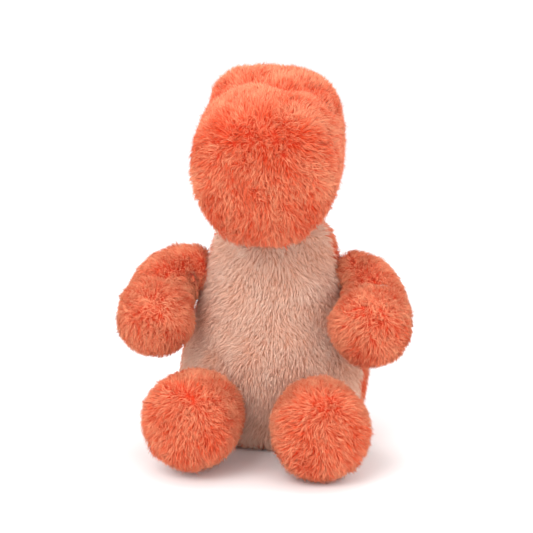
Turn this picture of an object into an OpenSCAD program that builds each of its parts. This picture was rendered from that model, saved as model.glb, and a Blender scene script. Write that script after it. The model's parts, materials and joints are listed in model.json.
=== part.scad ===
// Seated stuffed dinosaur in long-pile plush, sewn from panels round loose stuffing.
// Millimetres. +Z up, the toy faces -Y, its own left is +X.
// The origin is the middle of the flat seat, on the floor, under the torso's axis.
//
// Every limb is one tube of rings: a round end, a run of rings along a smooth path,
// and a second round end. Place t runs from 0 to 1 over the first end, 1 to 2 along
// the path and 2 to 3 over the second end. Angle a goes once round the tube.
// Skins are panels cut from that shape, one pile thickness deep, and the stuffing
// is the same shape taken further in.

/* [Torso] */
// Width at the hips
torso_w = 136; // [112:1:164]
// Depth front to back at the hips
torso_d = 110; // [91:1:132]
// Height from the floor to the top of the neck dome
torso_h = 178; // [148:1:214]
// Width where the shoulders meet the neck dome
collar_w = 90; // [76:1:100]
// Depth where the shoulders meet the neck dome
collar_d = 70; // [58:1:84]
// Radius of the neck dome that the head turns on
neck_r = 58; // [52:1:66]
// Rounding round the edge of the flat seat
seat_round = 13; // [11:1:16]
// Angle of the torso that the belly panel covers
belly_angle = 144; // [120:1:154]

/* [Head] */
// Width of the crown
head_w = 106; // [88:1:116]
// Height of the crown
head_h = 111; // [92:1:132]
// Width of the snout
snout_w = 102; // [83:1:112]
// Height of the snout
snout_h = 106; // [87:1:116]
// Length from the nape to the tip of the snout
head_l = 146; // [122:1:170]
// Height of the crown's middle above the top of the torso
crown_rise = 44; // [38:1:50]
// Drop of the middle of the snout below the middle of the crown
snout_drop = 17; // [8:1:20]
// Angle of the head that the strip from nose to nape covers
gusset_angle = 56; // [40:1:70]
// Angle that the under-jaw panel covers at its widest
chin_angle = 84; // [60:1:100]

/* [Eyes] */
// Diameter of each eye
eye_d = 9; // [7:0.5:11]
// Height of the eye's dome
eye_h = 2.8; // [2.2:0.2:4]
// Diameter of the shank behind the eye
shank_d = 3; // [2.4:0.1:4]
// Diameter of the washer that locks the shank
washer_d = 12; // [10:0.5:14]
// Thickness of the washer
washer_t = 1.4; // [1:0.1:2]
// Place of the eyes along the head, from 1 at the crown to 2 at the snout
eye_place = 1.44; // [1.3:0.01:1.6]
// Height of the eyes as an angle above the head's middle
eye_angle = 35; // [24:1:44]

/* [Arms] */
// Distance of the shoulders below the top of the torso
shoulder_drop = 55; // [48:1:74]
// Radius of the rounded arm root that sits in the torso
shoulder_r = 15; // [12:0.5:18]
// Thickness of the arm at the elbow
arm_w = 34; // [30:1:42]
// Width of the paw
paw_w = 54; // [45:1:60]
// Length from the shoulder forward to the middle of the paw
arm_l = 54; // [46:1:62]
// Distance that the left paw stands out from the shoulder
left_reach = 15; // [13:1:20]
// Distance that the right paw stands out from the shoulder
right_reach = 21; // [18:1:28]
// Extra distance that the left elbow stands out
left_bow = 6; // [3:0.5:8]
// Extra distance that the right elbow stands out
right_bow = 5; // [2:0.5:8]
// Extra drop of the left elbow
left_sag = 3; // [0:1:6]
// Extra drop of the right elbow
right_sag = 0; // [0:1:6]
// Drop of the left paw below the shoulder
left_drop = 28; // [24:1:34]
// Drop of the right paw below the shoulder
right_drop = 27; // [22:1:33]

/* [Legs] */
// Distance between the two hips
hip_gap = 68; // [60:1:78]
// Height of the hips
hip_z = 30; // [27:1:35]
// Radius of the rounded leg root that sits in the torso
hip_r = 20; // [17:0.5:23]
// Distance between the middles of the two feet
foot_gap = 90; // [80:1:104]
// Width of the foot
foot_w = 69; // [58:1:74]
// Height of the foot
foot_h = 70; // [59:1:78]
// Length from the hip to the sole
leg_l = 72; // [64:1:88]

/* [Tail] */
// Height of the middle of the tail root
tail_z = 38; // [34:1:44]
// Radius of the tail root that sits in the torso
tail_r = 24; // [20:0.5:27]
// Length from the root's middle to the tip
tail_l = 98; // [80:1:116]
// Width near the tip
tail_tip_w = 22; // [18:1:28]

/* [Cloth and clearances] */
// Thickness of a panel, its cloth and its pile together
skin = 7; // [5.5:0.5:8]
// Space between a panel and what is behind it
seam_gap = 0.8; // [0.5:0.1:1.2]
// Space round the root of an arm, a leg and the tail
joint_gap = 1.2; // [0.8:0.1:2]
// Thickness of the gathering thread at the neck
thread_d = 1.6; // [1:0.1:2]
// Radius of the gathered opening at the neck
neck_open_r = 24; // [20:1:28]
// Radius of the pellet bag in the seat
bag_r = 34; // [28:1:36]
// Height of the pellet bag
bag_h = 20; // [16:1:24]
// Thickness of the pellet bag's cloth
bag_t = 0.8; // [0.5:0.1:1.2]

/* [Hidden] */

coral = [0.93, 0.45, 0.31];
cream = [0.86, 0.68, 0.58];
padding = [0.95, 0.94, 0.90];

up = [0, 0, 1];
front = [0, -1, 0];
left = [1, 0, 0];
// Places where rings are drawn, denser over the round ends
STOPS = [0.08, 0.3, 0.53, 0.77, 1, 1.17, 1.33, 1.5, 1.67, 1.83, 2, 2.25, 2.5, 2.72, 2.92];
first_stop = STOPS[0];
last_stop = STOPS[len(STOPS) - 1];
turn_step = 15;

// ---- smooth lines and shapes ----

function unit(v) = v / norm(v);
function mix(a, b, f) = a + (b - a) * f;
function ease(f) = let(g = max(0, min(1, f))) g * g * (3 - 2 * g);
// A cosine or sine drawn out towards a square by an exponent under 1
function square_off(c, e) = sign(c) * pow(abs(c), e);

// The smooth curve through the rows of P, f from 0 to 1
function spline(P, f) =
  let(n = len(P) - 1, s = max(0, min(n, f * n)), i = min(n - 1, floor(s)), g = s - i,
      a = P[max(i - 1, 0)], b = P[i], c = P[i + 1], d = P[min(i + 2, n)])
  (2 * b + (c - a) * g + (2 * a - 5 * b + 4 * c - d) * g * g
   + (3 * b - a - 3 * c + d) * g * g * g) / 2;

function place(row) = [row[0], row[1], row[2]];
function heading(P, f) = unit(place(spline(P, f + 0.01)) - place(spline(P, f - 0.01)));

// A limb's ring at t: its middle, its heading, its half width and its half height.
// limb is [rows of middle and half sizes, length and roundness of each end].
function limb_ring(limb, t) =
  let(P = limb[0], n = len(P) - 1)
  t < 1 ? let(b = 90 * t, d = heading(P, 0), k = pow(sin(b), limb[1][1]))
      [place(P[0]) - d * limb[1][0] * cos(b), d, P[0][3] * k, P[0][4] * k]
  : t <= 2 ? let(q = spline(P, t - 1)) [place(q), heading(P, t - 1), q[3], q[4]]
  : let(b = 90 * (t - 2), d = heading(P, 1), k = pow(cos(b), limb[2][1]))
      [place(P[n]) + d * limb[2][0] * sin(b), d, P[n][3] * k, P[n][4] * k];

// The point of a ring at angle a, measured from the limb's own side axis
function ring_point(ring, side, a, e) =
  let(d = ring[1], s = unit(side - d * (d * side)), o = cross(d, s))
  ring[0] + s * ring[2] * square_off(cos(a), e) + o * ring[3] * square_off(sin(a), e);

// The outward direction of a shape, a function of t and a
function outward(shape, t, a) =
  let(s = max(0.03, min(2.97, t)))
  unit(cross(shape(s, a + 1) - shape(s, a - 1), shape(s + 0.02, a) - shape(s - 0.02, a)));

// The same shape taken in by a depth
function within(shape, t, a, depth) =
  depth == 0 ? shape(t, a) : shape(t, a) - outward(shape, t, a) * depth;

function stops(t0, t1) =
  concat([t0], [for (t = STOPS) if (t > t0 + 0.04 && t < t1 - 0.04) t], [t1]);

// ---- solids drawn from a shape ----

function flip(faces) = [for (f = faces) [for (i = [len(f) - 1:-1:0]) f[i]]];
// Two triangles for the four corners of one cell
function cell(a, b, c, d) = [[a, b, c], [a, c, d]];

// One sewn panel: from t0 to t1, and between the angles low(t) and high(t)
module panel(shape, t0, t1, low, high, steps) {
  T = stops(t0, t1);
  n = len(T);
  w = steps + 1;
  in = n * w;
  points = [for (depth = [0, skin]) for (t = T) for (j = [0:steps])
    within(shape, t, mix(low(t), high(t), j / steps), depth)];
  faces = concat(
    [for (i = [0:n - 2]) for (j = [0:steps - 1]) let(p = i * w + j)
      each concat(cell(p, p + 1, p + w + 1, p + w),
        cell(in + p, in + p + w, in + p + w + 1, in + p + 1))],
    [for (j = [0:steps - 1]) let(p = j, q = (n - 1) * w + j)
      each concat(cell(p + 1, p, in + p, in + p + 1), cell(q, q + 1, in + q + 1, in + q))],
    [for (i = [0:n - 2]) let(p = i * w, q = p + steps)
      each concat(cell(p, p + w, in + p + w, in + p), cell(q, in + q, in + q + w, q + w))]);
  polyhedron(points, flip(faces), convexity = 6);
}

// A closed solid through a list of rings, with a point over each end ring
module closed_rings(rings) {
  n = len(rings);
  m = len(rings[0]);
  ones = [for (j = [1:m]) 1];
  points = concat([for (r = rings) each r], [ones * rings[0] / m, ones * rings[n - 1] / m]);
  faces = concat(
    [for (i = [0:n - 2]) for (j = [0:m - 1]) let(p = i * m, k = (j + 1) % m)
      each cell(p + j, p + k, p + m + k, p + m + j)],
    [for (j = [0:m - 1]) let(k = (j + 1) % m) [k, j, n * m]],
    [for (j = [0:m - 1]) let(k = (j + 1) % m, q = (n - 1) * m) [q + j, q + k, n * m + 1]]);
  polyhedron(points, flip(faces), convexity = 6);
}

function ring_at(shape, t, depth) =
  [for (a = [0:turn_step:359]) within(shape, t, a, depth)];

// The stuffing: the shape taken in behind the panels
module stuffing(shape) {
  closed_rings([for (t = STOPS) ring_at(shape, t, skin + seam_gap)]);
}

// A round panel over the first end, out to t1
module first_end_panel(shape, t1) {
  T = stops(first_stop, t1);
  n = len(T) - 1;
  closed_rings(concat([for (t = T) ring_at(shape, t, 0)],
    [for (i = [n:-1:0]) ring_at(shape, T[i], skin)]));
}

// A round panel over the second end, from t0
module last_end_panel(shape, t0) {
  T = stops(t0, last_stop);
  n = len(T) - 1;
  closed_rings(concat([for (i = [n:-1:0]) ring_at(shape, T[i], skin)],
    [for (t = T) ring_at(shape, t, 0)]));
}

// ---- torso ----

neck_z = torso_h - neck_r;
collar_z = neck_z + sqrt(neck_r * neck_r - collar_w * collar_w / 4);
// Height share, and shares of the hip width and depth, from the seat to the shoulders
TORSO_SHARES = [[0, 0.91, 0.92], [0.16, 0.995, 1], [0.33, 1, 0.98], [0.57, 0.89, 0.85],
  [0.79, 0.78, 0.72]];
TORSO = concat([for (k = TORSO_SHARES)
    [mix(seat_round, collar_z, k[0]), torso_w / 2 * k[1], torso_d / 2 * k[2]]],
  [[collar_z, collar_w / 2, collar_d / 2]]);
// The flat of the seat ends at this place; the rounding takes the rest
flat_end = 0.53;
seat_end = 0.77;
// The side panels start this much further on, a narrow seam above the seat panel
sides_start = seat_end + seam_gap / 2 * (1 - flat_end) / (seat_round * PI / 2);

// Height, half width and half depth of the torso at t
function torso_size(t) =
  t < flat_end ? let(f = t / flat_end)
      [0, (TORSO[0][1] - seat_round) * f, (TORSO[0][2] - seat_round) * f]
  : t < 1 ? let(b = 90 * (t - flat_end) / (1 - flat_end), r = seat_round)
      [r * (1 - cos(b)), TORSO[0][1] - r * (1 - sin(b)), TORSO[0][2] - r * (1 - sin(b))]
  : t <= 2 ? spline(TORSO, t - 1)
  : let(b0 = asin((collar_z - neck_z) / neck_r), b = mix(b0, 90, t - 2), k = cos(b))
      [neck_z + neck_r * sin(b), neck_r * k, neck_r * k * collar_d / collar_w];

torso = function(t, a) let(s = torso_size(t)) [s[1] * cos(a), s[2] * sin(a), s[0]];

// The place along the torso's side at height z, found by halving
function torso_place(z, lo = 1, hi = 2, n = 20) =
  let(m = (lo + hi) / 2)
  n == 0 ? m : torso_size(m)[0] < z ? torso_place(z, m, hi, n - 1)
  : torso_place(z, lo, m, n - 1);
function torso_half_w(z) = torso_size(torso_place(z))[1];
function torso_half_d(z) = torso_size(torso_place(z))[2];

// ---- head ----

// Middle along y and z, half width and half height, from the crown to the snout
crown_z = torso_h + crown_rise;
crown_y = 0.13 * head_l;
snout_y = -0.42 * head_l;
snout_z = crown_z - snout_drop;
HEAD_SHARES = [[0, 0, 0], [0.22, 0.02, 0], [0.46, 0.2, 0.3], [0.72, 0.6, 0.55], [1, 1, 1]];
HEAD_FULL = [0.95, 1, 1, 1.015, 1];
HEAD = [for (i = [0:4]) let(k = HEAD_SHARES[i], g = HEAD_FULL[i] / 2)
  [0, mix(crown_y, snout_y, k[0]), mix(crown_z, snout_z, k[1]),
   g * mix(head_w, snout_w, k[2]), g * mix(head_h, snout_h, k[2])]];
nape_cap = 0.22 * head_l;
nose_cap = 0.23 * head_l;
head_limb = [HEAD, [nape_cap, 0.85], [nose_cap, 0.82]];
head = function(t, a) ring_point(limb_ring(head_limb, t), left, a, 0.88);

// The under-jaw panel starts in front of the neck and widens towards the nose
chin_start = 1.62;
function chin_half(t) = mix(3, chin_angle / 2, ease((t - chin_start) / 0.7));

// The bare space that the neck dome and its thread need inside the head
socket_r = neck_r + thread_d + 2 * seam_gap;
module neck_socket() {
  translate([0, 0, neck_z]) sphere(r = socket_r, $fn = 64);
}

// Places its children at an eye, with +Z pointing out of the head
module at_eye(mirrored) {
  p = head(eye_place, eye_angle);
  n = outward(head, eye_place, eye_angle);
  mirror([mirrored ? 1 : 0, 0, 0])
    translate(p) rotate([0, acos(n[2]), atan2(n[1], n[0])]) children();
}
// The eye sits on the cloth with the pile standing round it
eye_depth = skin - 0.8;
module eye_pocket() {
  translate([0, 0, -eye_depth]) cylinder(d = eye_d + 2 * seam_gap, h = eye_depth + 5, $fn = 40);
  translate([0, 0, -2 * skin]) cylinder(d = shank_d + 2 * seam_gap, h = 2 * skin, $fn = 24);
}
module washer_pocket() {
  depth = skin + washer_t + 3;
  translate([0, 0, -depth]) cylinder(d = washer_d + 4 * seam_gap, h = depth, $fn = 40);
}

// ---- arms, legs and tail ----

shoulder_out = 5.7;
shoulder_z = torso_h - shoulder_drop;
shoulder = [torso_half_w(shoulder_z) + shoulder_out, 0, shoulder_z];
// Shares of the reach, the length and the drop from the shoulder to the paw, of the growth to the
// full paw, and of the elbow's bow and sag
ARM_SHARES = [[0, 0, 0, 0, 0], [0.5, 0.12, 0.02, 0.1, 0.55], [0.85, 0.36, 0.2, 0.35, 1],
  [1, 0.68, 0.58, 0.8, 0.75], [1, 1, 1, 1, 0]];
function arm_limb(reach, bow, drop, sag) =
  [[for (i = [0:4]) let(k = ARM_SHARES[i], r = i == 0 ? shoulder_r : mix(arm_w, paw_w, k[3]) / 2)
    [shoulder[0] + reach * k[0] + bow * k[4], -arm_l * k[1],
     shoulder[2] - drop * k[2] - sag * k[4], r, r]],
   [shoulder_r, 1], [0.36 * paw_w, 0.8]];
left_arm_limb = arm_limb(left_reach, left_bow, left_drop, left_sag);
right_arm_limb = arm_limb(right_reach, right_bow, right_drop, right_sag);
left_arm = function(t, a) ring_point(limb_ring(left_arm_limb, t), up, a, 1);
right_arm = function(t, a) ring_point(limb_ring(right_arm_limb, t), up, a, 1);

hip_x = hip_gap / 2;
hip_out = 9;
hip_side = 1 - pow(hip_x / torso_half_w(hip_z), 2);
hip = [hip_x, -torso_half_d(hip_z) * sqrt(hip_side) - hip_out, hip_z];
// Shares of the way from the hip to the ankle, and of the growth to the full foot
LEG_SHARES = [[0, 0], [0.33, 0.55], [0.66, 0.93], [1, 1]];
foot_cap = 0.33 * foot_w;
ankle = [foot_gap / 2, hip[1] - leg_l + foot_cap, foot_h / 2];
leg_limb = [[for (k = LEG_SHARES) let(c = mix(hip, ankle, k[0]))
    [c[0], c[1], mix(hip_z, ankle[2], k[1]),
     mix(hip_r, foot_w / 2, k[1]), mix(hip_r, foot_h / 2, k[1])]],
  [hip_r, 1], [foot_cap, 0.75]];
leg = function(t, a) ring_point(limb_ring(leg_limb, t), left, a, 1);
sole_start = 2.25;

tail_in = 3;
tail_root = [0, torso_half_d(tail_z) - tail_in, tail_z];
tail_cap = 0.62 * tail_tip_w;
TAIL_SHARES = [[0, 0], [0.38, 0.12], [0.7, 0.52], [1, 1]];
tail_limb = [[for (k = TAIL_SHARES) let(r = mix(tail_r, tail_tip_w / 2, k[1]))
    [0, tail_root[1] + (tail_l - tail_cap) * k[0],
     mix(tail_z, tail_tip_w / 2 + 3, pow(k[0], 0.8)), r, r]],
  [tail_r, 1], [tail_cap, 1]];
tail = function(t, a) ring_point(limb_ring(tail_limb, t), left, a, 1);

// The hollows in the torso that the roots of the limbs sit in
module root_sockets() {
  for (m = [0, 1]) mirror([m, 0, 0]) {
    translate(shoulder) sphere(r = shoulder_r + joint_gap, $fn = 48);
    translate(hip) sphere(r = hip_r + joint_gap, $fn = 48);
  }
  translate(tail_root) sphere(r = tail_r + joint_gap, $fn = 48);
}

// ---- torso pieces ----

belly_low = function(t) 270 - belly_angle / 2;
belly_high = function(t) 270 + belly_angle / 2;
left_front = function(t) belly_angle / 2 - 90;
back_seam = function(t) 90;

module belly_panel() {
  color(cream) difference() {
    panel(torso, sides_start, last_stop, belly_low, belly_high, 10);
    root_sockets();
  }
}
module left_side_panel() {
  color(coral) difference() {
    panel(torso, sides_start, last_stop, left_front, back_seam, 8);
    root_sockets();
  }
}
module right_side_panel() {
  mirror([1, 0, 0]) left_side_panel();
}
module seat_panel() {
  color(coral) first_end_panel(torso, seat_end);
}
// The pellet bag is a low dome standing on the seat panel
bag_z = skin + seam_gap;
bag_ball = (bag_r * bag_r + bag_h * bag_h) / (2 * bag_h);
module dome(grow) {
  intersection() {
    translate([0, 0, bag_z + bag_h - bag_ball]) sphere(r = bag_ball + grow, $fn = 64);
    translate([-2 * bag_r, -2 * bag_r, bag_z + bag_t])
      cube([4 * bag_r, 4 * bag_r, 2 * bag_h]);
  }
}
module torso_stuffing() {
  color(padding) difference() {
    stuffing(torso);
    root_sockets();
    dome(seam_gap);
    cylinder(r = bag_r + seam_gap, h = bag_z + bag_t, $fn = 64);
  }
}
module pellet_bag_base() {
  color("white") translate([0, 0, bag_z]) cylinder(r = bag_r, h = bag_t, $fn = 64);
}
module pellet_bag_top() {
  color("white") difference() {
    dome(0);
    dome(-bag_t);
  }
}
module pellets() {
  color("silver") dome(-bag_t - 0.1);
}

// ---- head pieces ----

// The gathering thread that closes the head at the neck, a ring on the dome
thread_mid = neck_r + seam_gap + thread_d / 2;
module neck_thread() {
  color("salmon")
    translate([0, 0, neck_z + sqrt(thread_mid * thread_mid - neck_open_r * neck_open_r)])
      rotate_extrude($fn = 64) translate([neck_open_r, 0]) circle(d = thread_d, $fn = 16);
}
cheek_low = function(t) -90 + (t > chin_start ? chin_half(t) : 0);
cheek_high = function(t) 90 - gusset_angle / 2;
gusset_high = function(t) 90 + gusset_angle / 2;
chin_low = function(t) 270 - chin_half(t);
chin_high = function(t) 270 + chin_half(t);

module left_cheek_panel() {
  color(coral) difference() {
    panel(head, first_stop, last_stop, cheek_low, cheek_high, 10);
    neck_socket();
    at_eye(false) eye_pocket();
  }
}
module right_cheek_panel() {
  mirror([1, 0, 0]) left_cheek_panel();
}
module head_gusset() {
  color(coral) panel(head, first_stop, last_stop, cheek_high, gusset_high, 4);
}
module chin_panel() {
  color(coral) difference() {
    panel(head, chin_start, last_stop, chin_low, chin_high, 5);
    neck_socket();
  }
}
module head_stuffing() {
  color(padding) difference() {
    stuffing(head);
    neck_socket();
    for (m = [false, true]) at_eye(m) washer_pocket();
  }
}
module left_eye() {
  ball = (eye_d * eye_d / 4 + eye_h * eye_h) / (2 * eye_h);
  color("black") at_eye(false) translate([0, 0, -eye_depth + seam_gap]) {
    intersection() {
      translate([0, 0, eye_h - ball]) sphere(r = ball, $fn = 40);
      cylinder(d = eye_d, h = eye_h, $fn = 40);
    }
    translate([0, 0, eye_depth - skin - washer_t - 2])
      cylinder(d = shank_d, h = skin + washer_t + 2 - eye_depth + 0.5, $fn = 24);
  }
}
module right_eye() {
  mirror([1, 0, 0]) left_eye();
}
module left_eye_washer() {
  color("dimgray") at_eye(false) translate([0, 0, -skin - washer_t - 3 * seam_gap])
    difference() {
      cylinder(d = washer_d, h = washer_t, $fn = 40);
      translate([0, 0, -1]) cylinder(d = shank_d + 0.2, h = washer_t + 2, $fn = 24);
    }
}
module right_eye_washer() {
  mirror([1, 0, 0]) left_eye_washer();
}

// ---- arm pieces ----

half_a = function(t) 0;
half_b = function(t) 180;
half_c = function(t) 360;
module arm_panel(arm, inner) {
  color(coral)
    panel(arm, first_stop, last_stop, inner ? half_a : half_b, inner ? half_b : half_c, 7);
}
module left_arm_inner_panel() { arm_panel(left_arm, true); }
module left_arm_outer_panel() { arm_panel(left_arm, false); }
module left_arm_stuffing() { color(padding) stuffing(left_arm); }
module right_arm_inner_panel() { mirror([1, 0, 0]) arm_panel(right_arm, true); }
module right_arm_outer_panel() { mirror([1, 0, 0]) arm_panel(right_arm, false); }
module right_arm_stuffing() { color(padding) mirror([1, 0, 0]) stuffing(right_arm); }

// ---- leg pieces ----

module left_leg_top_panel() {
  color(coral) panel(leg, first_stop, sole_start, half_a, half_b, 12);
}
module left_leg_under_panel() {
  color(coral) panel(leg, first_stop, sole_start, half_b, half_c, 12);
}
module left_sole_panel() { color(coral) last_end_panel(leg, sole_start); }
module left_leg_stuffing() { color(padding) stuffing(leg); }
module right_leg_top_panel() { mirror([1, 0, 0]) left_leg_top_panel(); }
module right_leg_under_panel() { mirror([1, 0, 0]) left_leg_under_panel(); }
module right_sole_panel() { mirror([1, 0, 0]) left_sole_panel(); }
module right_leg_stuffing() { mirror([1, 0, 0]) left_leg_stuffing(); }

// ---- tail pieces ----

tail_low = function(t) -90;
tail_high = function(t) 90;
module tail_left_panel() {
  color(coral) panel(tail, first_stop, last_stop, tail_low, tail_high, 7);
}
module tail_right_panel() { mirror([1, 0, 0]) tail_left_panel(); }
module tail_stuffing() { color(padding) stuffing(tail); }

belly_panel();
left_side_panel();
right_side_panel();
seat_panel();
torso_stuffing();
pellet_bag_base();
pellet_bag_top();
pellets();
neck_thread();
left_cheek_panel();
right_cheek_panel();
head_gusset();
chin_panel();
head_stuffing();
left_eye();
right_eye();
left_eye_washer();
right_eye_washer();
left_arm_inner_panel();
left_arm_outer_panel();
left_arm_stuffing();
right_arm_inner_panel();
right_arm_outer_panel();
right_arm_stuffing();
left_leg_top_panel();
left_leg_under_panel();
left_sole_panel();
left_leg_stuffing();
right_leg_top_panel();
right_leg_under_panel();
right_sole_panel();
right_leg_stuffing();
tail_left_panel();
tail_right_panel();
tail_stuffing();
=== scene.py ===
import json

import bpy
import numpy as np
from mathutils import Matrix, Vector


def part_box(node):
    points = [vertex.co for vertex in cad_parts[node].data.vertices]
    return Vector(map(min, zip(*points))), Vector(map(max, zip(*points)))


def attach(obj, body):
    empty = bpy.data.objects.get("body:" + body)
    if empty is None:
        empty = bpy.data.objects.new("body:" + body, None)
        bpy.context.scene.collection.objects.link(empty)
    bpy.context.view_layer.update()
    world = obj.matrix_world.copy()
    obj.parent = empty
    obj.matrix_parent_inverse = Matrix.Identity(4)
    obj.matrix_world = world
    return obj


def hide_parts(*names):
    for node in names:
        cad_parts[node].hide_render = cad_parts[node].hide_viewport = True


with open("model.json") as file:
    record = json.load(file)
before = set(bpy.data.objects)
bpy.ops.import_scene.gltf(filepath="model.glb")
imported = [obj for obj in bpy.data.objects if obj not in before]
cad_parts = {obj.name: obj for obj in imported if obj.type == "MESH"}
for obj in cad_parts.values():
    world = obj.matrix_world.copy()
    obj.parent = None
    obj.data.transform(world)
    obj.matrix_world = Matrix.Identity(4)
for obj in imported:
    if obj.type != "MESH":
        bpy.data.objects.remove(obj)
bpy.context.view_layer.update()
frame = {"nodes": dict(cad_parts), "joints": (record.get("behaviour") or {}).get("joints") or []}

# ---------------------------------------------------------------- sizes, in metres

MM = 0.001
JOINT = {j["name"]: np.array(j["pos_m"]) for j in frame["joints"]}


def low(node):
    """Lowest corner of a CAD node's box."""
    return np.array(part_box(node)[0])


def high(node):
    """Highest corner of a CAD node's box."""
    return np.array(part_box(node)[1])


NECK = JOINT["head_turn"]
SHOULDER = JOINT["left_arm_swing"]
HIP = JOINT["left_leg_lift"]
TAIL_ROOT = JOINT["tail_wag"]

TORSO_HALF_W = high("left_side_panel")[0]
TORSO_HALF_D = -low("belly_panel")[1]
TORSO_TOP = 178 * MM
NECK_R = TORSO_TOP - NECK[2]
COLLAR_HALF_W = 45 * MM
COLLAR_HALF_D = 35 * MM
SEAT_ROUND = 13 * MM
BELLY_HALF = 72.0

HEAD_HALF_W = high("left_cheek_panel")[0] * 0.985
CROWN_HALF_H = 55.5 * MM
SNOUT_HALF_W = 51 * MM
SNOUT_HALF_H = 53 * MM
CROWN_Z = high("head_gusset")[2] - CROWN_HALF_H
SNOUT_DROP = 17 * MM
HEAD_LENGTH = 146 * MM
GUSSET_HALF = 28.0
CHIN_HALF = 42.0
CHIN_START = 1.62

SHOULDER_R = 15 * MM
ARM_HALF = 17 * MM
PAW_HALF = 27 * MM
ARM_LENGTH = 54 * MM
# Each arm's reach, bow, drop and sag
LEFT_ARM = np.array([14.6, 2.8, 28, 7.5]) * MM
RIGHT_ARM = np.array([19, 3.6, 27, 3.4]) * MM

HIP_R = 20 * MM
FOOT_HALF_W = 34.5 * MM
FOOT_HALF_H = 35 * MM
FOOT_X = 45 * MM
LEG_LENGTH = 72 * MM
RIGHT_FOOT_LIFT = 3 * MM
SOLE_START = 2.25

TAIL_R = 24 * MM
TAIL_LENGTH = 98 * MM
TAIL_TIP_R = 11 * MM

# The cloth lies this far under the surface of the CAD parts, which is where the pile ends
PILE_DEPTH = 4.6 * MM
# The same on the left arm and low on the body, whose pile stands a little proud there
FULL_DEPTH = 1.8 * MM
# The same on the right arm
ARM_DEPTH = 2.8 * MM

# ---------------------------------------------------------------- curves and rings


def unit(v):
    """Vectors divided by their lengths."""
    return v / np.maximum(np.linalg.norm(v, axis=-1, keepdims=True), 1e-12)


def mix(a, b, f):
    """The value a share f of the way from a to b."""
    return a + (b - a) * f


def ease(f):
    """The share f, held between 0 and 1, with level ends: 3 f^2 - 2 f^3."""
    f = np.clip(f, 0, 1)
    return f * f * (3 - 2 * f)


def bump(d, width):
    """A bell of height 1 at d = 0: exp(-d^2 / (2 width^2))."""
    return np.exp(-d * d / (2 * width * width))


def spline(rows, f):
    """The cubic through rows that leaves each row along the line between its neighbours."""
    rows = np.asarray(rows, float)
    last = len(rows) - 1
    s = np.clip(f * last, 0, last)
    i = np.minimum(s.astype(int), last - 1)
    g = (s - i)[..., None]
    a, b, c, d = (rows[np.clip(i + k, 0, last)] for k in (-1, 0, 1, 2))
    square_term = 2 * a - 5 * b + 4 * c - d
    cube_term = 3 * b - a - 3 * c + d
    return (2 * b + (c - a) * g + square_term * g**2 + cube_term * g**3) / 2


def squared(c, e):
    """A cosine or sine drawn out towards a square: its size to the power e, with its sign."""
    return np.sign(c) * np.abs(c) ** e


def limb(rows, first_cap, last_cap, side, square=1.0):
    """A stuffed tube as a function of place t and angle a in degrees.

    From t = 1 to 2 the rings follow the spline through rows (middle x, y, z, half width, half height).
    Below 1 and above 2 the rings shrink as sin(90 t) to a power while their middles run on along the
    end's heading by the cap's length, which makes a round end. Each cap is (length, power). The rings
    are squared off by the power square, which may change along the limb."""
    rows = np.asarray(rows, float)
    side = np.asarray(side, float)

    def heading(f):
        return unit(spline(rows[:, :3], f + 0.01) - spline(rows[:, :3], f - 0.01))

    def shape(t, a):
        t, a = np.broadcast_arrays(np.asarray(t, float), np.radians(np.asarray(a, float)))
        f = np.clip(t - 1, 0, 1)
        row = spline(rows, f)
        ahead = heading(f)
        b0 = np.radians(90 * np.clip(t, 0, 1))
        b1 = np.radians(90 * np.clip(t - 2, 0, 1))
        size = np.sin(b0) ** first_cap[1] * np.cos(b1) ** last_cap[1]
        run = last_cap[0] * np.sin(b1) - first_cap[0] * np.cos(b0)
        middle = row[..., :3] + ahead * run[..., None]
        s = unit(side - ahead * (ahead @ side)[..., None])
        o = np.cross(ahead, s)
        e = square(t) if callable(square) else square
        x = row[..., 3] * size * squared(np.cos(a), e)
        y = row[..., 4] * size * squared(np.sin(a), e)
        return middle + s * x[..., None] + o * y[..., None]

    return shape


def taken_in(shape, depth):
    """The shape moved inwards by depth along its own normal, found from small steps in t and a.

    The depth may change along the shape."""

    def inner(t, a):
        t, a = np.broadcast_arrays(np.asarray(t, float), np.asarray(a, float))
        s = np.clip(t, 0.03, 2.97)
        out = np.cross(shape(s, a + 1) - shape(s, a - 1), shape(s + 0.02, a) - shape(s - 0.02, a))
        deep = depth(t)[..., None] if callable(depth) else depth
        return shape(t, a) - unit(out) * deep

    return inner


# ---------------------------------------------------------------- the shapes of the toy

COLLAR_Z = NECK[2] + np.sqrt(NECK_R**2 - COLLAR_HALF_W**2)
# Share of the height to the collar, and the shares of half width and half depth there
TORSO_SHARES = [
    (0, 0.91, 0.92),
    (0.16, 0.995, 1),
    (0.33, 1, 0.98),
    (0.57, 0.89, 0.85),
    (0.79, 0.78, 0.72),
]
TORSO_ROWS = [
    (mix(SEAT_ROUND, COLLAR_Z, h), TORSO_HALF_W * w, TORSO_HALF_D * d) for h, w, d in TORSO_SHARES
] + [(COLLAR_Z, COLLAR_HALF_W, COLLAR_HALF_D)]
# Places where the flat of the seat ends and where the seat panel ends
FLAT_END = 0.53
SEAT_END = 0.77


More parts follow.
